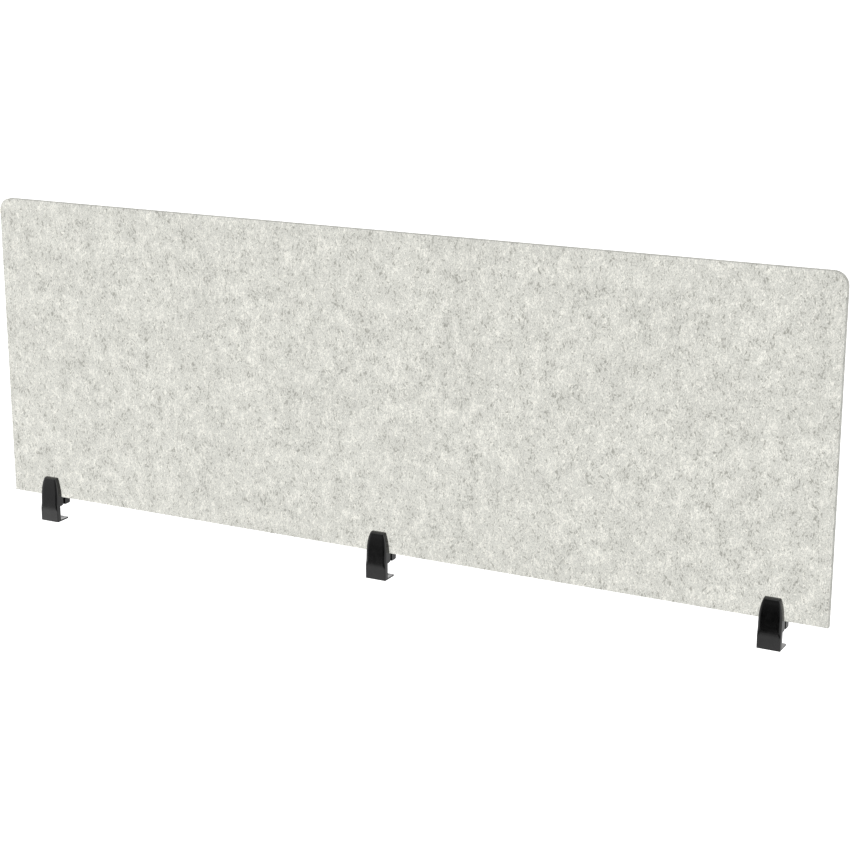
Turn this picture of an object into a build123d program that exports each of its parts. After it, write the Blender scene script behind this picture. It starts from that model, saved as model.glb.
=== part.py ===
from build123d import *
import os

# A desk privacy panel: one felt board, gripped along its lower edge by three brackets that hook
# over the edge of a desk top. Millimetres. X runs along the board, +Y points in over the desk and
# +Z is up. The origin is on the desk top's surface, under the board's front face, at mid-length.

# Felt board
board_length = 1700.0
board_height = 600.0
board_thickness = 12.0
board_corner_radius = 25.0  # the two upper corners; the lower two are square
bracket_inset = 95.6  # from a board end to the middle of the bracket there

# Bracket casting: shield plate in front, seat under the board, foot under the desk top
bracket_width = 42.0
seat_height = 18.5  # desk surface to the board's lower edge
seat_reach = 4.0  # how far the seat goes under the board
seat_nose_radius = 2.5
desk_gap = 28.0  # between the seat pad and the foot
foot_thickness = 3.5
foot_reach = 18.3  # rear edge of the foot, behind the board's front face
foot_corner_radius = 1.2
plate_standoff = 6.0  # rear face of the plate, ahead of the board's front face
plate_thickness = 9.6
inner_corner_radius = 1.5
shield_height = 39.7  # above the board's lower edge
shield_top_thickness = 9.3
shield_top_width = 28.6
shield_corner_radius = 1.6
shield_edge_radius = 1.5
taper_start = 0.0  # where shield and jaw begin to narrow, above the board's lower edge
lean_start = -27.5  # where the plate's front starts to lean back, above the board's lower edge
lean_angle = 3.0
lean_radius = 190.0
lower_edge_radius = 0.8

# Pads let into the shield and the jaw, and the strip under the seat
pad_thickness = 1.5
pad_proud = 0.3
pad_edge_gap = 0.15  # all round, in its pocket
pad_corner_radius = 2.0
shield_pad_width = 24.0
shield_pad_height = 30.0
shield_pad_lift = 6.0  # lower edge of the pad above the board's lower edge
jaw_pad_width = 26.0
jaw_pad_height = 20.0
jaw_pad_lift = 4.0
seat_pad_thickness = 1.0
seat_pad_margin = 0.5

# Rear jaw
jaw_thickness = 14.8
jaw_height = 30.0  # above the board's lower edge
jaw_top_thickness = 7.0
jaw_top_width = 30.0
jaw_corner_radius = 4.0
jaw_edge_radius = 1.5
jaw_lip = 1.8  # how far the jaw reaches forward under the board
jaw_lip_clearance = 0.5
jaw_desk_clearance = 0.5
jaw_chamfer_height = 1.6  # the slope under the jaw, at its rear face
jaw_sole_depth = 12.0  # level part of the underside, in front of that slope
jaw_travel = 4.0

# M5 socket head screw that pulls the jaw in, with its washer and retaining ring
clamp_drop = 7.5  # screw and guide pins below the board's lower edge
clamp_screw_radius = 2.5
clamp_screw_length = 30.0
clamp_head_radius = 4.25
clamp_head_height = 5.0
clamp_head_recess = 0.5
clamp_hex = 4.0  # across flats
clamp_hex_depth = 2.5
clamp_hole_spare = 2.0  # thread left beyond the screw's tip
clamp_tip_chamfer = 0.5
clamp_head_chamfer = 0.4
washer_radius = 4.5
washer_thickness = 1.0
washer_clearance = 0.15
counterbore_clearance = 0.25
ring_radius = 4.5
ring_thickness = 0.8
ring_groove_radius = 2.0
ring_play = 0.1
ring_recess_depth = 1.6
ring_recess_clearance = 0.5
ring_slot = 3.0

# Dowel pins that guide the jaw
pin_spacing = 24.0
pin_radius = 2.0
pin_seat_depth = 12.0
pin_length = 30.0
pin_hole_spare = 1.0
pin_chamfer = 0.5
press_clearance = 0.01

# M6 set screws in the foot, with swivel tips that bear on the underside of the desk top
foot_screw_spacing = 22.0
foot_screw_y = 11.5
foot_screw_radius = 3.0
foot_screw_length = 6.0
foot_screw_chamfer = 0.3
foot_hex = 3.0  # across flats
foot_hex_depth = 3.0
tip_inset = 0.5  # the tip is this much smaller in radius than its screw
tip_thickness = 0.8
tip_stem_radius = 1.2
tip_stem_length = 1.6
tip_stem_spare = 0.2

running_clearance = 0.05  # screw in its thread, pin in its bore, stem in its screw

# Levels and faces that several pieces share
board_bottom = seat_height
foot_top = -desk_gap
foot_bottom = foot_top - foot_thickness
plate_rear = -plate_standoff
plate_front = plate_rear - plate_thickness
shield_rear = -pad_proud
shield_top = board_bottom + shield_height
lean_bottom = board_bottom + lean_start
shield_top_front = shield_rear - shield_top_thickness
pocket_depth = pad_thickness - pad_proud
shield_pad_front = shield_rear - pocket_depth
jaw_pad_front = board_thickness
jaw_front = board_thickness + pad_proud
jaw_rear = jaw_front + jaw_thickness
jaw_top = board_bottom + jaw_height
lip_front = jaw_front - jaw_lip
lip_top = board_bottom - jaw_lip_clearance
clamp_z = board_bottom - clamp_drop
head_rear = jaw_rear - clamp_head_recess
head_front = head_rear - clamp_head_height
counterbore_floor = head_front - washer_thickness
counterbore_radius = washer_radius + counterbore_clearance
clamp_tip = head_front - clamp_screw_length
ring_recess_floor = lip_front + ring_recess_depth
ring_rear = ring_recess_floor - ring_play
pin_front = seat_reach - pin_seat_depth
pin_rear = pin_front + pin_length
tip_bottom = foot_top - tip_thickness
tip_radius = foot_screw_radius - tip_inset

outer_bracket_x = board_length / 2 - bracket_inset
bracket_middles = {"left": -outer_bracket_x, "centre": 0.0, "right": outer_bracket_x}


def side_view(x):
    """Sketch plane across a bracket's middle: Y to the right, Z up, facing +X."""
    return Plane(origin=(x, 0, 0), x_dir=(0, 1, 0), z_dir=(1, 0, 0))


def front_view(x, y=0.0):
    """Sketch plane seen from the front: X to the right, Z up, facing -Y."""
    return Plane(origin=(x, y, 0), x_dir=(1, 0, 0), z_dir=(0, -1, 0))


def top_view(x, z=0.0):
    """Sketch plane seen from above: X to the right, Y up, facing +Z."""
    return Plane(origin=(x, 0, z), x_dir=(1, 0, 0), z_dir=(0, 0, 1))


def tapered_outline(bottom, top, top_width, corner_radius):
    """Front outline of a shield or jaw: parallel sides that curve in towards the top."""
    half, top_half, bend = bracket_width / 2, top_width / 2, board_bottom + taper_start
    with BuildSketch() as outline:
        with BuildLine():
            Polyline((-half, bend), (-half, bottom), (half, bottom), (half, bend))
            TangentArc((half, bend), (top_half, top), tangent=(0, 1))
            Line((top_half, top), (-top_half, top))
            TangentArc((-half, bend), (-top_half, top), tangent=(0, 1))
        make_face()
        fillet(outline.vertices().group_by(Axis.Y)[-1], radius=corner_radius)
    return outline.sketch


shield_outline = tapered_outline(foot_bottom, shield_top, shield_top_width, shield_corner_radius)
jaw_outline = tapered_outline(jaw_desk_clearance, jaw_top, jaw_top_width, jaw_corner_radius)


def save(piece, label):
    piece.label = label
    export_step(piece, f"parts/{label}.step")


def make_board():
    middle_z = board_bottom + board_height / 2
    with BuildPart() as board:
        with BuildSketch(front_view(0)) as face:
            with Locations((0, middle_z)):
                Rectangle(board_length, board_height)
            fillet(face.vertices().group_by(Axis.Y)[-1], radius=board_corner_radius)
        extrude(amount=-board_thickness)
    return board.part


def upper_rim(faces):
    """The edges round a group of faces that meet, apart from the lowest edge."""
    rim = [edge for edge in faces.edges() if sum(edge in face.edges() for face in faces) == 1]
    return ShapeList(rim).sort_by(Axis.Z)[1:]


def make_bracket(x):
    """Hook-shaped casting with its pad pocket, clamp thread, pin holes and foot threads."""
    with BuildPart() as bracket:
        with BuildSketch(side_view(x)):
            with BuildLine():
                Polyline(
                    (plate_front, lean_bottom),
                    (plate_front, foot_bottom),
                    (foot_reach, foot_bottom),
                    (foot_reach, foot_top),
                    (plate_rear, foot_top),
                    (plate_rear, seat_pad_thickness),
                    (seat_reach, seat_pad_thickness),
                    (seat_reach, board_bottom),
                    (shield_rear, board_bottom),
                    (shield_rear, shield_top),
                    (shield_top_front, shield_top),
                )
                bend = JernArc((plate_front, lean_bottom), (0, 1), lean_radius, -lean_angle)
                TangentArc(bend @ 1, (shield_top_front, shield_top), tangent=bend % 1)
            make_face()
        extrude(amount=bracket_width / 2, both=True)
        cross_edges = bracket.edges().filter_by(Axis.X)
        desk_slot_corners = cross_edges.filter_by_position(Axis.Y, plate_rear, plate_rear)
        fillet(desk_slot_corners, radius=inner_corner_radius)
        cross_edges = bracket.edges().filter_by(Axis.X)
        seat_nose = cross_edges.filter_by_position(Axis.Y, seat_reach, seat_reach).sort_by(Axis.Z)[0]
        fillet(seat_nose, radius=seat_nose_radius)
        foot_corners = bracket.edges().filter_by(Axis.Z).group_by(Axis.Y)[-1]
        fillet(foot_corners, radius=foot_corner_radius)
        with BuildSketch(front_view(x)):
            add(shield_outline)
        extrude(amount=foot_reach + plate_thickness + plate_standoff, both=True, mode=Mode.INTERSECT)
        front = bracket.faces().filter_by(lambda face: face.normal_at().Y < -0.9)
        front = front.filter_by(lambda face: face.center().Y < plate_rear)
        fillet(upper_rim(front), radius=shield_edge_radius)
        lower_front = bracket.edges().group_by(Axis.Z)[0].sort_by(Axis.Y)[0]
        fillet(lower_front, radius=lower_edge_radius)
        with BuildSketch(front_view(x, shield_rear)):
            with Locations((0, board_bottom + shield_pad_lift + shield_pad_height / 2)):
                RectangleRounded(
                    shield_pad_width + 2 * pad_edge_gap,
                    shield_pad_height + 2 * pad_edge_gap,
                    pad_corner_radius + pad_edge_gap,
                )
        extrude(amount=pocket_depth, mode=Mode.SUBTRACT)
        with BuildSketch(front_view(x, seat_reach)):
            with Locations((0, clamp_z)):
                Circle(clamp_screw_radius + running_clearance)
        extrude(amount=seat_reach - clamp_tip + clamp_hole_spare, mode=Mode.SUBTRACT)
        with BuildSketch(front_view(x, seat_reach)):
            with Locations((-pin_spacing / 2, clamp_z), (pin_spacing / 2, clamp_z)):
                Circle(pin_radius + press_clearance)
        extrude(amount=pin_seat_depth, mode=Mode.SUBTRACT)
        with BuildSketch(top_view(x, foot_bottom)):
            with Locations((-foot_screw_spacing / 2, foot_screw_y), (foot_screw_spacing / 2, foot_screw_y)):
                Circle(foot_screw_radius + running_clearance)
        extrude(amount=foot_thickness, mode=Mode.SUBTRACT)
    return bracket.part


def make_jaw(x):
    """Block behind the board, with a lip under it, pad pocket, bores and counterbored screw hole."""
    with BuildPart() as jaw:
        with BuildSketch(side_view(x)):
            with BuildLine():
                Polyline(
                    (jaw_rear, board_bottom),
                    (jaw_rear, jaw_desk_clearance + jaw_chamfer_height),
                    (lip_front + jaw_sole_depth, jaw_desk_clearance),
                    (lip_front, jaw_desk_clearance),
                    (lip_front, lip_top),
                    (jaw_front, lip_top),
                    (jaw_front, jaw_top),
                    (jaw_front + jaw_top_thickness, jaw_top),
                )
                TangentArc(
                    (jaw_rear, board_bottom), (jaw_front + jaw_top_thickness, jaw_top), tangent=(0, 1)
                )
            make_face()
        extrude(amount=bracket_width / 2, both=True)
        with BuildSketch(front_view(x)):
            add(jaw_outline)
        extrude(amount=-(jaw_rear + jaw_travel), mode=Mode.INTERSECT)
        rear = jaw.faces().filter_by(lambda face: face.normal_at().Y > 0.6)
        fillet(upper_rim(rear), radius=jaw_edge_radius)
        with BuildSketch(front_view(x, jaw_front)):
            with Locations((0, board_bottom + jaw_pad_lift + jaw_pad_height / 2)):
                RectangleRounded(
                    jaw_pad_width + 2 * pad_edge_gap,
                    jaw_pad_height + 2 * pad_edge_gap,
                    pad_corner_radius + pad_edge_gap,
                )
        extrude(amount=-pocket_depth, mode=Mode.SUBTRACT)
        with BuildSketch(front_view(x, lip_front)):
            with Locations((0, clamp_z)):
                Circle(ring_radius + ring_recess_clearance)
        extrude(amount=-ring_recess_depth, mode=Mode.SUBTRACT)
        with BuildSketch(front_view(x, lip_front)):
            with Locations((0, clamp_z)):
                Circle(clamp_screw_radius + running_clearance)
        extrude(amount=-(jaw_rear - lip_front), mode=Mode.SUBTRACT)
        with BuildSketch(front_view(x, counterbore_floor)):
            with Locations((0, clamp_z)):
                Circle(counterbore_radius)
        extrude(amount=-(jaw_rear - counterbore_floor), mode=Mode.SUBTRACT)
        with BuildSketch(front_view(x, lip_front)):
            with Locations((-pin_spacing / 2, clamp_z), (pin_spacing / 2, clamp_z)):
                Circle(pin_radius + running_clearance)
        extrude(amount=-(pin_rear + pin_hole_spare - lip_front), mode=Mode.SUBTRACT)
    return jaw.part


def make_pad(x, front, width, height, lift):
    """Rubber pad that lies in a pocket of the shield or the jaw and bears on the board."""
    with BuildPart() as pad:
        with BuildSketch(front_view(x, front)):
            with Locations((0, board_bottom + lift + height / 2)):
                RectangleRounded(width, height, pad_corner_radius)
        extrude(amount=-pad_thickness)
    return pad.part


def make_seat_pad(x):
    """Rubber strip under the seat, which rests on the desk."""
    front, rear = plate_rear + inner_corner_radius, seat_reach - seat_nose_radius
    with BuildPart() as pad:
        with BuildSketch(top_view(x)):
            with Locations((0, (front + rear) / 2)):
                Rectangle(bracket_width - 2 * seat_pad_margin, rear - front - 2 * seat_pad_margin)
        extrude(amount=seat_pad_thickness)
    return pad.part


def make_guide_pins(x):
    with BuildPart() as pins:
        with BuildSketch(front_view(x, pin_front)):
            with Locations((-pin_spacing / 2, clamp_z), (pin_spacing / 2, clamp_z)):
                Circle(pin_radius)
        extrude(amount=-pin_length)
        chamfer(pins.edges().filter_by(GeomType.CIRCLE).group_by(Axis.Y)[-1], length=pin_chamfer)
    return pins.part


def make_clamp_screw(x):
    """Socket head screw along Y, with its thread left plain and a groove for the ring."""
    with BuildPart() as screw:
        with BuildSketch(front_view(x, head_front)):
            with Locations((0, clamp_z)):
                Circle(clamp_screw_radius)
        extrude(amount=clamp_screw_length)
        chamfer(screw.edges().group_by(Axis.Y)[0], length=clamp_tip_chamfer)
        with BuildSketch(front_view(x, head_front)):
            with Locations((0, clamp_z)):
                Circle(clamp_head_radius)
        extrude(amount=-clamp_head_height)
        chamfer(screw.edges().group_by(Axis.Y)[-1], length=clamp_head_chamfer)
        with BuildSketch(front_view(x, head_rear)):
            with Locations((0, clamp_z)):
                RegularPolygon(clamp_hex / 2, 6, major_radius=False)
        extrude(amount=clamp_hex_depth, mode=Mode.SUBTRACT)
        with BuildSketch(front_view(x, ring_rear)):
            with Locations((0, clamp_z)):
                Circle(clamp_screw_radius + running_clearance)
                Circle(ring_groove_radius, mode=Mode.SUBTRACT)
        extrude(amount=ring_thickness, mode=Mode.SUBTRACT)
    return screw.part


def make_washer(x):
    with BuildPart() as washer:
        with BuildSketch(front_view(x, head_front)):
            with Locations((0, clamp_z)):
                Circle(washer_radius)
                Circle(clamp_screw_radius + washer_clearance, mode=Mode.SUBTRACT)
        extrude(amount=washer_thickness)
    return washer.part


def make_retaining_ring(x):
    """Snap ring in the screw's groove, which draws the jaw back when the screw is undone."""
    with BuildPart() as ring:
        with BuildSketch(front_view(x, ring_rear)):
            with Locations((0, clamp_z)):
                Circle(ring_radius)
                Circle(ring_groove_radius + press_clearance, mode=Mode.SUBTRACT)
            with Locations((0, clamp_z - ring_radius)):
                Rectangle(ring_slot, 2 * ring_radius, mode=Mode.SUBTRACT)
        extrude(amount=ring_thickness)
    return ring.part


def make_foot_screw(x):
    """Set screw in the foot, with a hex socket below and a bore for the tip's stem above."""
    with BuildPart() as screw:
        with BuildSketch(top_view(x, tip_bottom)):
            with Locations((0, foot_screw_y)):
                Circle(foot_screw_radius)
        extrude(amount=-foot_screw_length)
        chamfer(screw.edges().filter_by(GeomType.CIRCLE), length=foot_screw_chamfer)
        with BuildSketch(top_view(x, tip_bottom - foot_screw_length)):
            with Locations((0, foot_screw_y)):
                RegularPolygon(foot_hex / 2, 6, major_radius=False)
        extrude(amount=foot_hex_depth, mode=Mode.SUBTRACT)
        with BuildSketch(top_view(x, tip_bottom)):
            with Locations((0, foot_screw_y)):
                Circle(tip_stem_radius + running_clearance)
        extrude(amount=-(tip_stem_length + tip_stem_spare), mode=Mode.SUBTRACT)
    return screw.part


def make_swivel_tip(x):
    with BuildPart() as tip:
        with BuildSketch(top_view(x, tip_bottom)):
            with Locations((0, foot_screw_y)):
                Circle(tip_radius)
        extrude(amount=tip_thickness)
        with BuildSketch(top_view(x, tip_bottom)):
            with Locations((0, foot_screw_y)):
                Circle(tip_stem_radius)
        extrude(amount=-tip_stem_length)
    return tip.part


os.makedirs("parts", exist_ok=True)
save(make_board(), "felt_board")
for side, x in bracket_middles.items():
    save(make_bracket(x), f"{side}_bracket")
    save(
        make_pad(x, shield_pad_front, shield_pad_width, shield_pad_height, shield_pad_lift),
        f"{side}_shield_pad",
    )
    save(make_seat_pad(x), f"{side}_seat_pad")
    save(make_guide_pins(x), f"{side}_guide_pins")
    save(make_jaw(x), f"{side}_rear_jaw")
    save(make_pad(x, jaw_pad_front, jaw_pad_width, jaw_pad_height, jaw_pad_lift), f"{side}_jaw_pad")
    save(make_clamp_screw(x), f"{side}_clamp_screw")
    save(make_washer(x), f"{side}_screw_washer")
    save(make_retaining_ring(x), f"{side}_retaining_ring")
    for number, offset in enumerate((-foot_screw_spacing / 2, foot_screw_spacing / 2), start=1):
        save(make_foot_screw(x + offset), f"{side}_foot_screw_{number}")
        save(make_swivel_tip(x + offset), f"{side}_foot_screw_tip_{number}")
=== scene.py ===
import math

import bmesh
import bpy
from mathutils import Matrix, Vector


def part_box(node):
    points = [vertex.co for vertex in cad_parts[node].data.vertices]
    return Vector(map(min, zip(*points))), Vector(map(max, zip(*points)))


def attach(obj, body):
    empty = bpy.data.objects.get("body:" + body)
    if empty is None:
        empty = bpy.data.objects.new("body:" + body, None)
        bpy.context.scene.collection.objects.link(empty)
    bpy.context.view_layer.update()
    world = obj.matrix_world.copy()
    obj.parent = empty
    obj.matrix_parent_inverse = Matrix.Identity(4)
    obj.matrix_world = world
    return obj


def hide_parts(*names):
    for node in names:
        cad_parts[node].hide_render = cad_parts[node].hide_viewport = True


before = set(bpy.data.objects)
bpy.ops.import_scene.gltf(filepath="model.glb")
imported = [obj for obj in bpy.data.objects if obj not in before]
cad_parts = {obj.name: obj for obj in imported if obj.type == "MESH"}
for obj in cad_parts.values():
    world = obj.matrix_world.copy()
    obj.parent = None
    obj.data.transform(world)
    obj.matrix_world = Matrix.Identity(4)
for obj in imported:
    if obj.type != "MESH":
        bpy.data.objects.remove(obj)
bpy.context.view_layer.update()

MM = 0.001
SIDES = ("left", "centre", "right")
board_low, board_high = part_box("felt_board")
board_bottom = board_low.z


# ---------------------------------------------------------------- node helpers

def put(tree, kind, inputs=(), **settings):
    """Adds a node, sets it up and links or sets its inputs."""
    node = tree.nodes.new(kind)
    for name, value in settings.items():
        setattr(node, name, value)
    for key, value in dict(inputs).items():
        if isinstance(value, bpy.types.NodeSocket):
            tree.links.new(value, node.inputs[key])
        else:
            node.inputs[key].default_value = value
    return node


def calc(tree, operation, first, second=0.0, third=0.0):
    """One sum; each value is a number or a socket."""
    values = {0: first, 1: second, 2: third}
    return put(tree, "ShaderNodeMath", values, operation=operation).outputs[0]


def ease(tree, value, start, end, low=0.0, high=1.0):
    """Smooth step of a value from low to high between start and end."""
    inputs = {"Value": value, "From Min": start, "From Max": end, "To Min": low, "To Max": high}
    return put(tree, "ShaderNodeMapRange", inputs, interpolation_type="SMOOTHSTEP").outputs[0]


def blend_colours(tree, factor, first, second, mode="MIX"):
    """Mixes two colours; each value is plain or a socket."""
    mix = put(tree, "ShaderNodeMix", data_type="RGBA", blend_type=mode)
    for index, value in ((0, factor), (6, first), (7, second)):
        if isinstance(value, bpy.types.NodeSocket):
            tree.links.new(value, mix.inputs[index])
        else:
            mix.inputs[index].default_value = value
    return mix.outputs[2]


def grey(level, warmth=0.0):
    """A grey of one level, warmed a little towards yellow."""
    return (level * (1 + warmth), level, level * (1 - warmth), 1)


def place_pattern(tree, scale, turn=(0, 0, 0), shift=(0, 0, 0), warp=None):
    """Object coordinates, pushed about by a warp, turned and stretched."""
    point = put(tree, "ShaderNodeTexCoord").outputs["Object"]
    if warp is not None:
        point = put(tree, "ShaderNodeVectorMath", {0: point, 1: warp}, operation="ADD").outputs[0]
    inputs = {"Vector": point, "Rotation": turn, "Location": shift, "Scale": scale}
    return put(tree, "ShaderNodeMapping", inputs).outputs[0]


def speckle(tree, vector, scale, detail=2.0, roughness=0.5):
    """A noise pattern of values about one half."""
    inputs = {"Vector": vector, "Scale": scale, "Detail": detail, "Roughness": roughness}
    return put(tree, "ShaderNodeTexNoise", inputs).outputs["Fac"]


def start_material(name):
    """A new material, its tree and its shader."""
    material = bpy.data.materials.new(name)
    material.use_nodes = True
    tree = material.node_tree
    return material, tree, tree.nodes["Principled BSDF"]


def emboss(tree, shader, height, distance, strength=1.0):
    """Raises a pattern on a shader as fine relief."""
    bump = put(tree, "ShaderNodeBump", {"Height": height, "Distance": distance, "Strength": strength})
    tree.links.new(bump.outputs[0], shader.inputs["Normal"])


def edge_wear(tree, radius, start, end):
    """1 on outer edges, 0 on flat faces, from how far a rounded normal departs from the true one."""
    rounded = put(tree, "ShaderNodeBevel", {"Radius": radius}, samples=6).outputs[0]
    true = put(tree, "ShaderNodeNewGeometry").outputs["Normal"]
    match = put(tree, "ShaderNodeVectorMath", {0: rounded, 1: true}, operation="DOT_PRODUCT")
    return ease(tree, calc(tree, "SUBTRACT", 1.0, match.outputs["Value"]), start, end)


# ---------------------------------------------------------------- materials

# How fine each part of a pattern is, in features to the metre
FELT_CURL, FELT_STREAKS, FELT_FLECKS = 55.0, 290.0, 320.0
FELT_CLOUDS, FELT_SLOW_CLOUDS, FELT_GRAIN, FIBRE_TINT = 40.0, 9.0, 620.0, 240.0
COAT_PEEL, COAT_DUST, COAT_RUBS = 700.0, 90.0, 260.0
RUBBER_RIBS, RUBBER_BLOOM = 160.0, 150.0
STEEL_SCRATCHES, STEEL_STAIN = 1500.0, 320.0
NYLON_MOTTLE, FLOOR_CLOUDS = 420.0, 3.0

FELT_MID = (0.700, 0.700, 0.648, 1)
FELT_CREAM = (0.90, 0.89, 0.82, 1)
FELT_DARK = (0.365, 0.362, 0.325, 1)
STREAK_TURN = math.radians(14)
FLECK_TURN = math.radians(-17)
STREAK_STRETCH = (1, 1, 0.42)  # a smaller number draws the pattern out along that axis
FLECK_STRETCH = (1, 1, 0.45)
CURL_REACH = 16 * MM
CLOUD_PULL = 0.48  # how strongly streaks and flecks gather in the clouds
TONE_SHARE = 0.85
FELT_BUMP = 0.12 * MM
FIBRE_BUMP = 0.05 * MM


def felt_pattern(tree):
    """Where cream streaks, dark flecks, clouds and fine grain lie in the felt."""
    plain = place_pattern(tree, (1, 1, 1))
    curl = put(tree, "ShaderNodeTexNoise", {"Vector": plain, "Scale": FELT_CURL, "Detail": 1.0})
    centred = put(tree, "ShaderNodeVectorMath", {0: curl.outputs["Color"], 1: (0.5, 0.5, 0.5)},
                  operation="SUBTRACT")
    warp = put(tree, "ShaderNodeVectorMath", {0: centred.outputs[0], "Scale": CURL_REACH},
               operation="SCALE").outputs[0]
    drawn = place_pattern(tree, STREAK_STRETCH, (0, STREAK_TURN, 0), warp=warp)
    streaks = speckle(tree, drawn, FELT_STREAKS, 4.0, 0.6)
    crossed = place_pattern(tree, FLECK_STRETCH, (0, FLECK_TURN, 0), (3, 5, 7), warp)
    flecks = speckle(tree, crossed, FELT_FLECKS, 3.0, 0.6)
    clouds = speckle(tree, place_pattern(tree, (1, 1, 0.8), shift=(11, 2, 4)), FELT_CLOUDS, 5.0, 0.65)
    grain = speckle(tree, place_pattern(tree, (1, 1, 0.6), shift=(2, 9, 1)), FELT_GRAIN, 3.0, 0.6)
    drift = calc(tree, "MULTIPLY", calc(tree, "SUBTRACT", clouds, 0.5), CLOUD_PULL)
    cream = ease(tree, calc(tree, "ADD", streaks, drift), 0.50, 0.64)
    dark = ease(tree, calc(tree, "SUBTRACT", flecks, drift), 0.55, 0.68)
    return cream, dark, clouds, grain


def felt(name="heather_felt", tone=1.0):
    """Three tones of felted fibre: mid ground, cream streaks and sparse dark flecks."""
    material, tree, shader = start_material(name)
    cream, dark, clouds, grain = felt_pattern(tree)
    colour = blend_colours(tree, calc(tree, "MULTIPLY", cream, TONE_SHARE), FELT_MID, FELT_CREAM)
    colour = blend_colours(tree, calc(tree, "MULTIPLY", dark, TONE_SHARE), colour, FELT_DARK)
    shade = calc(tree, "MULTIPLY", ease(tree, clouds, 0.30, 0.70, 0.965, 1.035),
                 ease(tree, grain, 0.25, 0.75, 0.76, 1.24))
    slow = speckle(tree, place_pattern(tree, (1, 1, 1), shift=(6, 1, 8)), FELT_SLOW_CLOUDS)
    shade = calc(tree, "MULTIPLY", shade, ease(tree, slow, 0.35, 0.65, tone * 0.975, tone * 1.025))
    shade = put(tree, "ShaderNodeCombineColor", {0: shade, 1: shade, 2: shade}).outputs[0]
    colour = blend_colours(tree, 1.0, colour, shade, "MULTIPLY")
    tree.links.new(colour, shader.inputs["Base Color"])
    shader.inputs["Roughness"].default_value = 0.95
    shader.inputs["Specular IOR Level"].default_value = 0.12
    shader.inputs["Sheen Weight"].default_value = 0.08
    emboss(tree, shader, calc(tree, "ADD", grain, calc(tree, "MULTIPLY", cream, 0.6)), FELT_BUMP, 0.5)
    return material


def felt_fibre(name, level, warmth):
    """One loose fibre's tone, a little uneven along its length."""
    material, tree, shader = start_material(name)
    tint = speckle(tree, place_pattern(tree, (1, 1, 1)), FIBRE_TINT)
    colour = blend_colours(tree, tint, grey(level * 0.85, warmth), grey(level * 1.1, warmth))
    tree.links.new(colour, shader.inputs["Base Color"])
    shader.inputs["Roughness"].default_value = 0.9
    shader.inputs["Specular IOR Level"].default_value = 0.1
    emboss(tree, shader, tint, FIBRE_BUMP, 0.3)
    return material


COAT_EDGE, COAT_BUMP = 0.5 * MM, 0.01 * MM
RUBBER_EDGE, RUBBER_BUMP = 0.4 * MM, 0.15 * MM
STEEL_EDGE, STEEL_BUMP = 0.25 * MM, 0.01 * MM
NYLON_EDGE, NYLON_BUMP = 0.2 * MM, 0.03 * MM


def satin_black_coat():
    """Powder coat: fine orange peel, faint dust and slightly rubbed edges."""
    material, tree, shader = start_material("satin_black_coat")
    plain = place_pattern(tree, (1, 1, 1))
    peel = speckle(tree, plain, COAT_PEEL, 2.0, 0.45)
    dust = speckle(tree, plain, COAT_DUST, 3.0, 0.6)
    wear = calc(tree, "MULTIPLY", edge_wear(tree, COAT_EDGE, 0.02, 0.25),
                ease(tree, speckle(tree, plain, COAT_RUBS, 3.0), 0.48, 0.68))
    colour = blend_colours(tree, dust, grey(0.0008), grey(0.0018))
    colour = blend_colours(tree, calc(tree, "MULTIPLY", wear, 0.6), colour, grey(0.03))
    tree.links.new(colour, shader.inputs["Base Color"])
    tree.links.new(ease(tree, dust, 0.3, 0.7, 0.13, 0.18), shader.inputs["Roughness"])
    shader.inputs["IOR"].default_value = 1.52
    emboss(tree, shader, peel, COAT_BUMP, 0.12)
    return material


def black_rubber():
    """Moulded rubber with fine grip ribs and a dull bloom."""
    material, tree, shader = start_material("grip_rubber")
    plain = place_pattern(tree, (1, 1, 1))
    ribs = put(tree, "ShaderNodeTexWave", {"Vector": plain, "Scale": RUBBER_RIBS, "Distortion": 0.0},
               bands_direction="Z").outputs["Fac"]
    bloom = speckle(tree, plain, RUBBER_BLOOM, 3.0)
    colour = blend_colours(tree, bloom, grey(0.010), grey(0.022))
    colour = blend_colours(tree, edge_wear(tree, RUBBER_EDGE, 0.02, 0.25), colour, grey(0.035))
    tree.links.new(colour, shader.inputs["Base Color"])
    tree.links.new(ease(tree, bloom, 0.3, 0.7, 0.72, 0.88), shader.inputs["Roughness"])
    emboss(tree, shader, calc(tree, "ADD", ribs, calc(tree, "MULTIPLY", bloom, 0.3)), RUBBER_BUMP, 0.6)
    return material


def steel(name, low, high, rough, stretch):
    """Turned or ground steel: drawn scratches, colour variation and brighter edges."""
    material, tree, shader = start_material(name)
    scratches = speckle(tree, place_pattern(tree, stretch), STEEL_SCRATCHES, 3.0, 0.6)
    stain = speckle(tree, place_pattern(tree, (1, 1, 1)), STEEL_STAIN, 3.0)
    colour = blend_colours(tree, stain, grey(low), grey(high))
    colour = blend_colours(tree, edge_wear(tree, STEEL_EDGE, 0.03, 0.3), colour, grey(high * 1.5))
    tree.links.new(colour, shader.inputs["Base Color"])
    tree.links.new(ease(tree, scratches, 0.3, 0.7, rough, rough + 0.16), shader.inputs["Roughness"])
    shader.inputs["Metallic"].default_value = 1.0
    emboss(tree, shader, scratches, STEEL_BUMP, 0.3)
    return material


def black_nylon():
    """Moulded nylon: faint mottling and paler edges."""
    material, tree, shader = start_material("black_nylon")
    plain = place_pattern(tree, (1, 1, 1))
    mottle = speckle(tree, plain, NYLON_MOTTLE, 3.0)
    colour = blend_colours(tree, mottle, grey(0.012), grey(0.024))
    colour = blend_colours(tree, edge_wear(tree, NYLON_EDGE, 0.03, 0.3), colour, grey(0.05))
    tree.links.new(colour, shader.inputs["Base Color"])
    tree.links.new(ease(tree, mottle, 0.3, 0.7, 0.42, 0.58), shader.inputs["Roughness"])
    emboss(tree, shader, mottle, NYLON_BUMP, 0.4)
    return material


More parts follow.
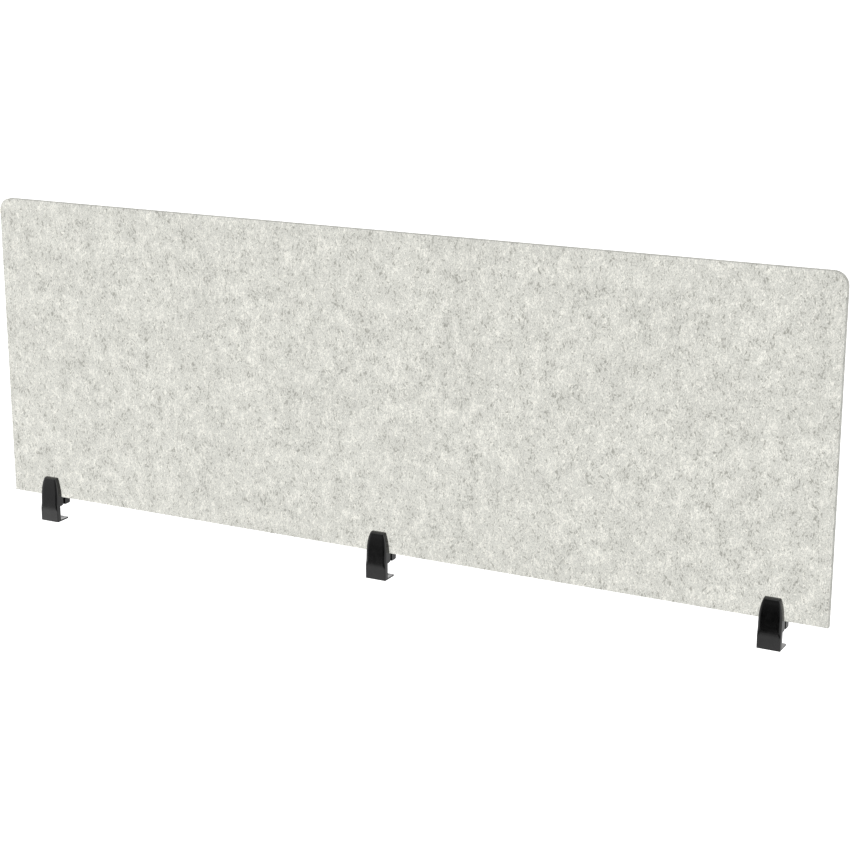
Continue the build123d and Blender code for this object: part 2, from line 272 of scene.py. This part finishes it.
# ---------------------------------------------------------------- mesh helpers

MERGE, SNAP = 0.002 * MM, 0.01 * MM
FLAT = math.radians(0.2)  # faces that turn by less than this are one face
SMOOTH_LIMIT = math.radians(38)


def add_object(name, mesh):
    """Puts a mesh in the scene as an object at the origin."""
    piece = bpy.data.objects.new(name, mesh)
    bpy.context.scene.collection.objects.link(piece)
    return piece


def finish_piece(piece, body, nodes=()):
    """Gives a piece its body and hides the CAD nodes it stands for."""
    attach(piece, body)
    if nodes:
        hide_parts(*nodes)


def make_plain(piece):
    """Turns a piece and its modifiers into one plain mesh."""
    graph = bpy.context.evaluated_depsgraph_get()
    mesh = bpy.data.meshes.new_from_object(piece.evaluated_get(graph), depsgraph=graph)
    piece.modifiers.clear()
    old, piece.data = piece.data, mesh
    bpy.data.meshes.remove(old)
    mesh.name = piece.name


def soften(mesh, degrees):
    """Smooth shading, with a crisp line where faces turn by more than an angle."""
    mesh.shade_smooth()
    mesh.set_sharp_from_angle(angle=math.radians(degrees))


def merged_copy(node):
    """A closed copy of a CAD node, flat faces joined up."""
    shape = bmesh.new()
    shape.from_mesh(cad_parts[node].data)
    bmesh.ops.remove_doubles(shape, verts=shape.verts, dist=MERGE)
    bmesh.ops.recalc_face_normals(shape, faces=shape.faces)
    bmesh.ops.dissolve_limit(shape, angle_limit=FLAT, verts=shape.verts, edges=shape.edges)
    return shape


def mark_regions(shape):
    """Notes on each face its area, which after the merge is the whole of the flat face it belongs to."""
    region = shape.faces.layers.float.new("region")
    for face in shape.faces:
        face[region] = face.calc_area()


def even_normals(shape, mesh):
    """Shades a casting so that its large faces stay even right up to their rounded edges."""
    region = shape.faces.layers.float["region"]
    limit = math.cos(SMOOTH_LIMIT)
    shape.normal_update()
    normals = []
    for face in shape.faces:
        for vert in face.verts:
            total = Vector()
            for other in vert.link_faces:
                if other.normal.dot(face.normal) > limit:
                    total += other.normal * other[region] * other.calc_area() ** 0.1
            normals.append(total.normalized() if total.length else face.normal.copy())
    shape.to_mesh(mesh)
    mesh.shade_smooth()
    mesh.normals_split_custom_set(normals)


def cut_strips(shape, axis, start, end, step):
    """Cuts a shape across an axis so that its faces can bend."""
    normal = Vector([float(index == axis) for index in range(3)])
    count = max(1, round((end - start) / step))
    for index in range(1, count):
        spot = normal * (start + (end - start) * index / count)
        everything = shape.verts[:] + shape.edges[:] + shape.faces[:]
        bmesh.ops.bisect_plane(shape, geom=everything, plane_co=spot, plane_no=normal, dist=SNAP)


def smooth_step(value, start, end):
    """0 before the start, 1 after the end and an even ease between."""
    t = min(1.0, max(0.0, (value - start) / (end - start)))
    return t * t * (3 - 2 * t)


# ---------------------------------------------------------------- felt board

GRID_STEP = 6 * MM
FELT_EDGE = 0.9 * MM
CORNER = 25 * MM
SURFACE_DIP = 0.25 * MM
EDGE_LAYERS = (0.0, 0.22, 0.5, 0.78, 1.0)  # rings of points round the rim, through the board
CORNER_STEPS = 10
CUT_EDGE_TONE = 0.72


def felt_columns():
    """Where the board's columns of points stand, closer together round the upper corners."""
    ends = [CORNER * (1 - math.cos(math.pi / 2 * i / CORNER_STEPS)) for i in range(CORNER_STEPS)]
    middle = board_high.x - board_low.x - 2 * CORNER
    steps = round(middle / GRID_STEP)
    columns = [board_low.x + inset for inset in ends]
    columns += [board_low.x + CORNER + middle * i / steps for i in range(steps + 1)]
    return columns + [board_high.x - inset for inset in reversed(ends)]


def felt_top(x):
    """Height of the top edge at x, which drops round the two corners."""
    inset = min(x - board_low.x, board_high.x - x)
    if inset >= CORNER:
        return board_high.z
    return board_high.z - CORNER + math.sqrt(max(0.0, CORNER ** 2 - (CORNER - inset) ** 2))


def felt_dip(x, z):
    """Slow unevenness of the pressed surface, always inwards."""
    wave = math.sin(23 * x + 2.1 * math.sin(17 * z)) * math.cos(29 * z + 1.3 * math.sin(11 * x))
    return SURFACE_DIP * (0.5 + 0.5 * wave)


def make_felt():
    """The board: two uneven faces and a soft cut rim, as one closed mesh."""
    shape = bmesh.new()
    columns = felt_columns()
    rows = round((board_high.z - board_low.z) / GRID_STEP)
    depth = board_high.y - board_low.y
    last = len(EDGE_LAYERS) - 1
    points = {}
    for i, x in enumerate(columns):
        for j in range(rows + 1):
            z = board_low.z + (felt_top(x) - board_low.z) * j / rows
            border = i in (0, len(columns) - 1) or j in (0, rows)
            for k, layer in enumerate(EDGE_LAYERS):
                if 0 < k < last and not border:
                    continue
                dip = felt_dip(x, z) * (1 - 2 * layer) if k in (0, last) else 0.0
                points[i, j, k] = shape.verts.new((x, board_low.y + depth * layer + dip, z))
    for i in range(len(columns) - 1):
        for j in range(rows):
            corners = ((i, j), (i + 1, j), (i + 1, j + 1), (i, j + 1))
            shape.faces.new([points[a, b, 0] for a, b in corners])
            shape.faces.new([points[a, b, last] for a, b in reversed(corners)])
    loop = [(i, 0) for i in range(len(columns) - 1)] + [(len(columns) - 1, j) for j in range(rows)]
    loop += [(i, rows) for i in range(len(columns) - 1, 0, -1)] + [(0, j) for j in range(rows, 0, -1)]
    for index, here in enumerate(loop):
        there = loop[(index + 1) % len(loop)]
        for k in range(last):
            side = shape.faces.new([points[(*there, k)], points[(*here, k)],
                                    points[(*here, k + 1)], points[(*there, k + 1)]])
            side.material_index = 1
    bmesh.ops.recalc_face_normals(shape, faces=shape.faces)
    rim = [edge for edge in shape.edges
           if len({face.material_index for face in edge.link_faces}) == 2]
    bmesh.ops.bevel(shape, geom=rim, offset=FELT_EDGE, segments=2, profile=0.5, affect="EDGES",
                    clamp_overlap=True, material=1)
    mesh = bpy.data.meshes.new("pressed_felt_board")
    shape.to_mesh(mesh)
    shape.free()
    soften(mesh, 60)
    mesh.materials.append(felt())
    mesh.materials.append(felt("felt_cut_edge", CUT_EDGE_TONE))
    piece = add_object("pressed_felt_board", mesh)
    finish_piece(piece, "root", ["felt_board"])
    return piece


# ---------------------------------------------------------------- geometry node tools

def start_tree(name, sizes):
    """A Geometry Nodes tree with one input for each size; returns it with its group input node."""
    tree = bpy.data.node_groups.new(name, "GeometryNodeTree")
    tree.interface.new_socket("Geometry", in_out="INPUT", socket_type="NodeSocketGeometry")
    tree.interface.new_socket("Geometry", in_out="OUTPUT", socket_type="NodeSocketGeometry")
    for label, value in sizes.items():
        kind = "NodeSocketInt" if isinstance(value, int) else "NodeSocketFloat"
        tree.interface.new_socket(label, in_out="INPUT", socket_type=kind)
    return tree, tree.nodes.new("NodeGroupInput")


def end_tree(tree, geometry, material):
    """Makes the grown pieces real, gives them their finish and sends them out."""
    realized = put(tree, "GeometryNodeRealizeInstances", {"Geometry": geometry})
    painted = put(tree, "GeometryNodeSetMaterial", {"Geometry": realized.outputs[0], "Material": material})
    put(tree, "NodeGroupOutput", {"Geometry": painted.outputs[0]})


def grow(name, base_mesh, tree, sizes):
    """Runs a tree on a mesh and keeps the result as a plain mesh."""
    piece = add_object(name, base_mesh)
    modifier = piece.modifiers.new("pattern", "NODES")
    modifier.node_group = tree
    for item in tree.interface.items_tree:
        if item.in_out == "INPUT" and item.name in sizes:
            modifier[item.identifier] = sizes[item.name]
    piece.update_tag()
    make_plain(piece)
    return piece


FIBRE_SIZES = {"Density": 1500.0, "Length": 12 * MM, "Thickness": 0.16 * MM, "Curl": 0.18, "Seed": 3}
FIBRE_TURN = (0, 0, 0.7), (0, 0, 2.4)  # least and most turn, in radians, about each axis
FUZZ_TURN = (-0.5, -0.6, 0), (0.5, 0.6, math.tau)
FIBRE_SCALE = 0.55, 1.25  # shortest and longest, as a share of the stated length


def fibre_tree(name, material, on_edge):
    """Short curled fibres scattered over the felt, lying flat on its faces or standing off its rim."""
    tree, given = start_tree(name, FIBRE_SIZES)
    size = given.outputs
    normal = put(tree, "GeometryNodeInputNormal").outputs[0]
    facing = put(tree, "ShaderNodeSeparateXYZ", {0: normal}).outputs["Y"]
    steep = calc(tree, "ABSOLUTE", facing)
    chosen = put(tree, "FunctionNodeCompare", {0: steep, 1: 0.5},
                 operation="LESS_THAN" if on_edge else "GREATER_THAN").outputs[0]
    spread = put(tree, "GeometryNodeDistributePointsOnFaces",
                 {"Mesh": size["Geometry"], "Selection": chosen, "Density": size["Density"],
                  "Seed": size["Seed"]})
    line = put(tree, "GeometryNodeCurveQuadraticBezier",
               {"Resolution": 4, "Start": (-0.5, 0, 0), "Middle": (0, 0.5, 0), "End": (0.5, 0, 0)})
    curve = put(tree, "GeometryNodeTransform", {"Geometry": line.outputs[0]})
    bend = put(tree, "ShaderNodeCombineXYZ", {0: size["Length"],
               1: calc(tree, "MULTIPLY", size["Length"], size["Curl"]), 2: 1.0})
    tree.links.new(bend.outputs[0], curve.inputs["Scale"])
    ring = put(tree, "GeometryNodeCurvePrimitiveCircle", {"Resolution": 3, "Radius": size["Thickness"]})
    strand = put(tree, "GeometryNodeCurveToMesh",
                 {"Curve": curve.outputs[0], "Profile Curve": ring.outputs[0], "Fill Caps": True})
    spin = put(tree, "FunctionNodeRandomValue", data_type="FLOAT_VECTOR")
    low, high = FUZZ_TURN if on_edge else FIBRE_TURN
    spin.inputs["Min"].default_value, spin.inputs["Max"].default_value = low, high
    tree.links.new(size["Seed"], spin.inputs["Seed"])
    turn = put(tree, "FunctionNodeRotateRotation",
               {0: spread.outputs["Rotation"], 1: spin.outputs[0]}, rotation_space="LOCAL")
    grow_size = put(tree, "FunctionNodeRandomValue", data_type="FLOAT")
    grow_size.inputs[2].default_value, grow_size.inputs[3].default_value = FIBRE_SCALE
    seeds = put(tree, "GeometryNodeInstanceOnPoints",
                {"Points": spread.outputs["Points"], "Instance": strand.outputs[0],
                 "Rotation": turn.outputs[0], "Scale": grow_size.outputs[1]})
    end_tree(tree, seeds.outputs[0], material)
    return tree


def lay_fibres(board):
    """Light and dark fibres on the faces and short fuzz round the cut edge."""
    kinds = (
        ("light_felt_fibres", felt_fibre("cream_fibre", 0.86, 0.03), False,
         dict(FIBRE_SIZES, Density=1300.0, Seed=11)),
        ("dark_felt_fibres", felt_fibre("grey_fibre", 0.42, 0.01), False,
         dict(FIBRE_SIZES, Density=900.0, Length=10 * MM, Seed=23)),
        ("felt_edge_fuzz", felt_fibre("edge_fibre", 0.62, 0.02), True,
         dict(FIBRE_SIZES, Density=26000.0, Length=2.6 * MM, Thickness=0.07 * MM, Seed=37)),
    )
    for name, material, on_edge, sizes in kinds:
        tree = fibre_tree(name + "_tree", material, on_edge)
        piece = grow(name, board.data.copy(), tree, sizes)
        piece.data.shade_smooth()
        finish_piece(piece, "root")


# ---------------------------------------------------------------- brackets and jaws

STRIP = 2.0 * MM
TOP_STRIP = 1.3 * MM
RIM_CUTS = (0.8 * MM, 3.0 * MM, 5.0 * MM)  # extra cuts, in from each side
STRIP_DROP = 28 * MM  # strips start this far below the board, just under where the front leans back
TOP_STRIP_START = 5 * MM  # in from the foot of the front
SHIELD_GAP = 0.3 * MM  # between the shield and the felt
RIM_WIDTH = 5.5 * MM
RIM_RADIUS = 8.0 * MM
RIM_START, RIM_FULL = 27 * MM, 12 * MM  # below the board: where the roll starts and is whole
TOP_DROP = 3.2 * MM
TOP_FADE = 10 * MM  # the top is rolled over this height
NEAR_TOP = 3.5 * MM  # points this close to the top give its width
FRONT_LEAN = 6 * MM  # how far the top of the front stands back from its foot
PLATE = 9.6 * MM  # thickness of the casting in front of the desk's edge


def roll_sag(distance):
    """How far a face has rolled away at a distance in from its edge."""
    inside = min(RIM_WIDTH, max(0.0, RIM_WIDTH - distance))
    return RIM_RADIUS - math.sqrt(RIM_RADIUS ** 2 - inside ** 2)


def shape_front(shape, middle, low, high, half_at):
    """Rolls the front of a shield away towards its two sides, and its top down to the front."""
    depth = board_low.y - (low.y + FRONT_LEAN)
    for vert in shape.verts:
        if vert.co.z > board_bottom:
            forward = min(1.0, max(0.0, (board_low.y - SHIELD_GAP - vert.co.y) / depth))
            near_top = smooth_step(vert.co.z, high.z - TOP_FADE, high.z)
            vert.co.z -= TOP_DROP * near_top * (1 - math.sqrt(1 - forward ** 2))
        weight = min(1.0, max(0.0, (low.y + PLATE - vert.co.y) / PLATE))
        fade = smooth_step(vert.co.z, board_bottom - RIM_START, board_bottom - RIM_FULL)
        inset = half_at(vert.co.z) - abs(vert.co.x - middle)
        vert.co.y += roll_sag(inset) * weight * fade


def width_reader(node, middle):
    """A rule for how wide a casting is at any height, from its own points."""
    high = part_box(node)[1]
    points = [(v.co.z, abs(v.co.x - middle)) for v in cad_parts[node].data.vertices]
    base = high.x - middle
    top = max(x for z, x in points if z > high.z - NEAR_TOP)

    def half_at(z):
        rise = min(1.0, max(0.0, (z - board_bottom) / (high.z - board_bottom)))
        return base + (top - base) * rise ** 2
    return half_at


def make_casting(name, node, body, material):
    """A coated casting: the CAD shape, cut into strips, its rims rolled and its shading evened."""
    low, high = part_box(node)
    middle = (low.x + high.x) / 2
    shape = merged_copy(node)
    mark_regions(shape)
    if body == "root":
        cut_strips(shape, 0, low.x, high.x, STRIP)
        cut_strips(shape, 2, board_bottom - STRIP_DROP, high.z, STRIP)
        cut_strips(shape, 1, low.y + TOP_STRIP_START, board_low.y - SHIELD_GAP, TOP_STRIP)
        for offset in RIM_CUTS:
            for edge in (low.x + offset, high.x - offset):
                cut_strips(shape, 0, 2 * edge - high.x, high.x, high.x - edge)
        shape_front(shape, middle, low, high, width_reader(node, middle))
    else:
        cut_strips(shape, 0, low.x, high.x, 2 * STRIP)
        cut_strips(shape, 2, low.z, high.z, 2 * STRIP)
    bmesh.ops.triangulate(shape, faces=shape.faces)
    mesh = bpy.data.meshes.new(name)
    even_normals(shape, mesh)
    shape.free()
    mesh.materials.append(material)
    piece = add_object(name, mesh)
    piece.visible_diffuse = piece.visible_shadow = False
    finish_piece(piece, body, [node])


# ---------------------------------------------------------------- screws

THREAD_SIZES = {"Pitch": 0.8 * MM, "Depth": 0.42 * MM, "Start": 0.0, "End": 1.0}
CREST = 0.12  # flat share of a thread's crest and root
RINGS_PER_TURN = 7

# M5 socket head cap screw
CAP_HEAD, CAP_HEAD_HEIGHT, CAP_SHANK, CAP_GROOVE = 4.25 * MM, 5.0 * MM, 2.5 * MM, 2.0 * MM
CAP_HEXAGON, CAP_SOCKET_DEPTH, CAP_SOCKET_MOUTH = 4.0 * MM, 2.5 * MM, 2.55 * MM
CAP_SIDES, CAP_KNURLS, CAP_KNURL_DEPTH, CAP_TIP = 60, 30, 0.14 * MM, 0.5 * MM

# M6 set screw
SET_RADIUS, SET_PITCH, SET_THREAD_DEPTH, SET_CHAMFER = 3.0 * MM, 1.0 * MM, 0.5 * MM, 0.3 * MM
SET_HEXAGON, SET_SOCKET_DEPTH, SET_SOCKET_MOUTH = 3.0 * MM, 2.4 * MM, 1.95 * MM
SET_SEAT, SET_SEAT_DEPTH, SET_SIDES = 1.42 * MM, 1.8 * MM, 36
CRISP = 30  # degrees


def thread_tree(name, material):
    """Cuts a helical thread into a fine tube along Z: radius dips with turn and height."""
    tree, given = start_tree(name, THREAD_SIZES)
    size = given.outputs
    spot = put(tree, "ShaderNodeSeparateXYZ", {0: put(tree, "GeometryNodeInputPosition").outputs[0]})
    x, y, z = spot.outputs
    turn = calc(tree, "DIVIDE", calc(tree, "ARCTAN2", y, x), math.tau)
    climb = calc(tree, "SUBTRACT", calc(tree, "DIVIDE", z, size["Pitch"]), turn)
    tooth = calc(tree, "MULTIPLY", calc(tree, "PINGPONG", climb, 0.5), 2.0)
    dip = put(tree, "ShaderNodeMapRange", {"Value": tooth, "From Min": CREST, "From Max": 1 - CREST})
    inside = calc(tree, "MULTIPLY", calc(tree, "GREATER_THAN", z, size["Start"]),
                  calc(tree, "LESS_THAN", z, size["End"]))
    squares = calc(tree, "ADD", calc(tree, "MULTIPLY", x, x), calc(tree, "MULTIPLY", y, y))
    radius = calc(tree, "SQRT", squares)
    cut = calc(tree, "MULTIPLY", calc(tree, "MULTIPLY", dip.outputs[0], size["Depth"]), inside)
    keep = calc(tree, "DIVIDE", calc(tree, "SUBTRACT", radius, cut), calc(tree, "MAXIMUM", radius, 1e-6))
    keep = calc(tree, "MAXIMUM", keep, 0.05)
    moved = put(tree, "ShaderNodeCombineXYZ",
                {0: calc(tree, "MULTIPLY", x, keep), 1: calc(tree, "MULTIPLY", y, keep), 2: z})
    outer = put(tree, "GeometryNodeInputNamedAttribute", {"Name": "threaded"}, data_type="FLOAT")
    chosen = calc(tree, "GREATER_THAN", outer.outputs[0], 0.5)
    place = put(tree, "GeometryNodeSetPosition",
                {"Geometry": size["Geometry"], "Selection": chosen, "Position": moved.outputs[0]})
    end_tree(tree, place.outputs[0], material)
    return tree


def hex_radius(across, angle):
    """Distance from the centre to the flats of a hexagon at an angle."""
    return across / 2 / math.cos((angle % (math.pi / 3)) - math.pi / 6)


def turned_mesh(name, rings, sides):
    """A closed body of rings up the Z axis; each ring is (radius or rule, z, threaded)."""
    points, faces, marks = [], [], []
    for radius, z, threaded in rings:
        for k in range(sides):
            angle = math.tau * k / sides
            r = radius(angle) if callable(radius) else radius
            points.append((r * math.cos(angle), r * math.sin(angle), z))
            marks.append(1.0 if threaded else 0.0)
    for ring in range(len(rings) - 1):
        for k in range(sides):
            a, b = ring * sides + k, ring * sides + (k + 1) % sides
            faces.append((a, b, b + sides, a + sides))
    faces.append(tuple(reversed(range(sides))))
    faces.append(tuple((len(rings) - 1) * sides + k for k in range(sides)))
    mesh = bpy.data.meshes.new(name)
    mesh.from_pydata(points, [], faces)
    shape = bmesh.new()
    shape.from_mesh(mesh)
    bmesh.ops.recalc_face_normals(shape, faces=shape.faces)
    shape.to_mesh(mesh)
    shape.free()
    attribute = mesh.attributes.new("threaded", "FLOAT", "POINT")
    attribute.data.foreach_set("value", marks)
    return mesh


def thread_rings(radius, start, end, pitch):
    """Rings close enough together to carry a thread."""
    count = round((end - start) / pitch * RINGS_PER_TURN)
    return [(radius, start + (end - start) * i / count, True) for i in range(count + 1)]


def plain_rings(outline):
    """Rings that carry no thread."""
    return [(radius, z, False) for radius, z in outline]


def place_along(piece, rows):
    """Stands a finished screw where it belongs; rows are the new X, Y, Z of its old axes."""
    middle, axis_x, axis_y, axis_z = rows
    for vert in piece.data.vertices:
        x, y, z = vert.co
        vert.co = middle + axis_x * x + axis_y * y + axis_z * z
    piece.data.update()


def make_clamp_screw(side, thread):
    """M5 socket head cap screw: knurled head, hexagon socket, thread and ring groove."""
    node = f"{side}_clamp_screw"
    low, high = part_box(node)
    length = high.y - low.y
    head_z = length - CAP_HEAD_HEIGHT
    groove_low, groove_high = ring_span(side, low.y)
    pitch = THREAD_SIZES["Pitch"]

    def knurled(angle):
        return CAP_HEAD - CAP_KNURL_DEPTH * (0.5 - 0.5 * math.cos(CAP_KNURLS * angle))

    def socket(angle):
        return hex_radius(CAP_HEXAGON, angle)

    shank = [(CAP_SHANK - CAP_TIP, 0.0), (CAP_SHANK, CAP_TIP)]
    neck = [(CAP_SHANK, groove_low), (CAP_GROOVE, groove_low), (CAP_GROOVE, groove_high),
            (CAP_SHANK, groove_high), (CAP_SHANK, head_z)]
    head = [(CAP_HEAD - 0.3 * MM, head_z), (knurled, head_z + 0.3 * MM), (knurled, length - 0.9 * MM),
            (CAP_HEAD - 0.15 * MM, length - 0.8 * MM), (CAP_HEAD - 0.15 * MM, length - 0.4 * MM),
            (CAP_HEAD - 0.5 * MM, length)]
    recess = [(CAP_SOCKET_MOUTH, length), (socket, length - 0.25 * MM),
              (socket, length - CAP_SOCKET_DEPTH), (0.6 * MM, length - CAP_SOCKET_DEPTH - 0.5 * MM)]
    threaded = thread_rings(CAP_SHANK, CAP_TIP, groove_low - 0.3 * MM, pitch)
    rings = plain_rings(shank) + threaded + plain_rings(neck + head + recess)
    mesh = turned_mesh(f"{side}_cap_screw", rings, CAP_SIDES)
    piece = grow(f"{side}_cap_screw", mesh, thread,
                 dict(THREAD_SIZES, Start=0.7 * MM, End=groove_low - 0.6 * MM))
    place_along(piece, (Vector(((low.x + high.x) / 2, low.y, (low.z + high.z) / 2)),
                        Vector((1, 0, 0)), Vector((0, 0, -1)), Vector((0, 1, 0))))
    soften(piece.data, CRISP)
    finish_piece(piece, f"{side}_screw", [node])


def ring_span(side, start):
    """Where the retaining ring's groove lies along the screw, measured from the screw's tip."""
    low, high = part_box(f"{side}_retaining_ring")
    return low.y - start - 0.02 * MM, high.y - start + 0.02 * MM


def make_foot_screw(side, number, thread):
    """M6 set screw: thread, hexagon socket below and a seat for the swivel tip above."""
    node = f"{side}_foot_screw_{number}"
    low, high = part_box(node)
    length = high.z - low.z
    end_radius = SET_RADIUS - SET_CHAMFER - 0.1 * MM

    def socket(angle):
        return hex_radius(SET_HEXAGON, angle)

    recess = [(0.5 * MM, SET_SOCKET_DEPTH + 0.2 * MM), (socket, SET_SOCKET_DEPTH),
              (socket, 0.2 * MM), (SET_SOCKET_MOUTH, 0.0), (end_radius, 0.0)]
    seat = [(end_radius, length), (SET_SEAT, length), (SET_SEAT, length - SET_SEAT_DEPTH)]
    threaded = thread_rings(SET_RADIUS, SET_CHAMFER, length - SET_CHAMFER, SET_PITCH)
    rings = plain_rings(recess) + threaded + plain_rings(seat)
    name = f"{side}_set_screw_{number}"
    piece = grow(name, turned_mesh(name, rings, SET_SIDES), thread,
                 dict(THREAD_SIZES, Pitch=SET_PITCH, Depth=SET_THREAD_DEPTH, Start=SET_CHAMFER,
                      End=length))
    place_along(piece, (Vector(((low.x + high.x) / 2, (low.y + high.y) / 2, low.z)),
                        Vector((1, 0, 0)), Vector((0, 1, 0)), Vector((0, 0, 1))))
    soften(piece.data, CRISP)
    finish_piece(piece, f"{side}_foot_screw_{number}", [node])


# ---------------------------------------------------------------- studio

FLOOR_LEVEL = -0.75
FLOOR_FRONT = -2.3
FLOOR_REACH = 30.0
FLOOR_FADE = -1.9  # the floor is lit fully from here back


def lay_floor():
    """A pale glowing floor that ends in front of the panel, brightest to the left."""
    mesh = bpy.data.meshes.new("floor")
    corners = [(-FLOOR_REACH, FLOOR_FRONT), (FLOOR_REACH, FLOOR_FRONT),
               (FLOOR_REACH, FLOOR_REACH), (-FLOOR_REACH, FLOOR_REACH)]
    mesh.from_pydata([(x, y, FLOOR_LEVEL) for x, y in corners], [], [(0, 1, 2, 3)])
    add_object("floor", mesh)
    material, tree, shader = start_material("pale_floor")
    cloud = speckle(tree, place_pattern(tree, (1, 1, 1)), FLOOR_CLOUDS)
    tree.links.new(blend_colours(tree, cloud, grey(0.48), grey(0.52)), shader.inputs["Base Color"])
    shader.inputs["Roughness"].default_value = 0.9
    shader.inputs["Emission Color"].default_value = (1, 1, 1, 1)
    across, along, _ = put(tree, "ShaderNodeSeparateXYZ", {0: place_pattern(tree, (1, 1, 1))}).outputs
    front = calc(tree, "MULTIPLY", ease(tree, along, FLOOR_FRONT, FLOOR_FADE), ease(tree, along, 0.2, -0.4))
    left = ease(tree, across, -0.7, -2.4, 0.0, 0.6)
    glow = calc(tree, "ADD", 0.3, calc(tree, "MULTIPLY", front, calc(tree, "ADD", 0.3, left)))
    seen = put(tree, "ShaderNodeLightPath").outputs["Is Camera Ray"]
    tree.links.new(calc(tree, "MAXIMUM", glow, seen), shader.inputs["Emission Strength"])
    mesh.materials.append(material)


SOFT = 0.93  # even light on matt surfaces
BRIGHT = 2.1
OVERHEAD = 0.80
DARK_AIM = 15.0  # degrees to the left of straight ahead
DARK_HALF, DARK_FADE = 6.0, 35.0
ROOM_START, ROOM_FULL = 50.0, 95.0
DARK_TOP, OVERHEAD_FULL = 22.0, 50.0
BACKDROP = 1.05


def light_room():
    """A bright room with a dark zone in front, which the black castings mirror."""
    world = bpy.data.worlds.new("studio")
    bpy.context.scene.world = world
    world.use_nodes = True
    tree = world.node_tree
    spot = put(tree, "ShaderNodeSeparateXYZ", {0: put(tree, "ShaderNodeTexCoord").outputs["Generated"]})
    x, y, z = spot.outputs
    bearing = calc(tree, "ARCTAN2", x, calc(tree, "MULTIPLY", y, -1.0))
    azimuth = calc(tree, "DEGREES", bearing)
    height = calc(tree, "DEGREES", calc(tree, "ARCSINE", z))
    aside = calc(tree, "ABSOLUTE", calc(tree, "ADD", azimuth, DARK_AIM))
    level = ease(tree, aside, DARK_HALF, DARK_FADE, 0.02, 0.93)
    above = ease(tree, height, DARK_TOP, OVERHEAD_FULL)
    overhead = put(tree, "ShaderNodeMix", {0: above, 2: level, 3: OVERHEAD})
    around = ease(tree, aside, ROOM_START, ROOM_FULL)
    low_front = ease(tree, height, -9.0, -4.0, 0.0, 0.22)
    level = calc(tree, "ADD", overhead.outputs[0], low_front)
    room = put(tree, "ShaderNodeMix", {0: around, 2: level, 3: BRIGHT})
    path = put(tree, "ShaderNodeLightPath").outputs
    light = put(tree, "ShaderNodeMix", {0: path["Is Glossy Ray"], 2: SOFT, 3: room.outputs[0]})
    strength = put(tree, "ShaderNodeMix", {0: path["Is Camera Ray"], 2: light.outputs[0], 3: BACKDROP})
    tree.links.new(strength.outputs[0], tree.nodes["Background"].inputs["Strength"])
    tree.nodes["Background"].inputs["Color"].default_value = (1, 1, 1, 1)


STANDPOINT = (1.6655, -3.0006, 1.1939)
TILT, PAN = 74.8, 27.62  # degrees
LENS, SENSOR = 82.67, 36.0


def place_camera():
    """In front and to the right, looking slightly down."""
    data = bpy.data.cameras.new("camera")
    data.lens, data.sensor_width = LENS, SENSOR
    camera = bpy.data.objects.new("camera", data)
    camera.location = STANDPOINT
    camera.rotation_euler = (math.radians(TILT), 0, math.radians(PAN))
    bpy.context.scene.collection.objects.link(camera)
    bpy.context.scene.camera = camera


# ---------------------------------------------------------------- assembly

board = make_felt()
lay_fibres(board)

coat = satin_black_coat()
rubber = black_rubber()
blackened = steel("black_oxide_steel", 0.035, 0.07, 0.32, (1, 1, 1))
ground = steel("ground_steel", 0.55, 0.66, 0.22, (1, 0.05, 1))
nylon = black_nylon()
thread = thread_tree("screw_thread", blackened)

for side in SIDES:
    make_casting(f"{side}_hook_casting", f"{side}_bracket", "root", coat)
    make_casting(f"{side}_jaw_casting", f"{side}_rear_jaw", f"{side}_jaw", coat)
    make_clamp_screw(side, thread)
    for number in (1, 2):
        make_foot_screw(side, number, thread)

# CAD nodes that stay as they are, with their finish
KEPT = {"shield_pad": rubber, "seat_pad": rubber, "jaw_pad": rubber, "guide_pins": ground,
        "screw_washer": blackened, "retaining_ring": blackened,
        "foot_screw_tip_1": nylon, "foot_screw_tip_2": nylon}
for side in SIDES:
    for ending, material in KEPT.items():
        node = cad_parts[f"{side}_{ending}"]
        for index in range(len(node.material_slots)):
            node.material_slots[index].material = material

lay_floor()
light_room()
place_camera()
bpy.context.scene.view_settings.view_transform = "Standard"
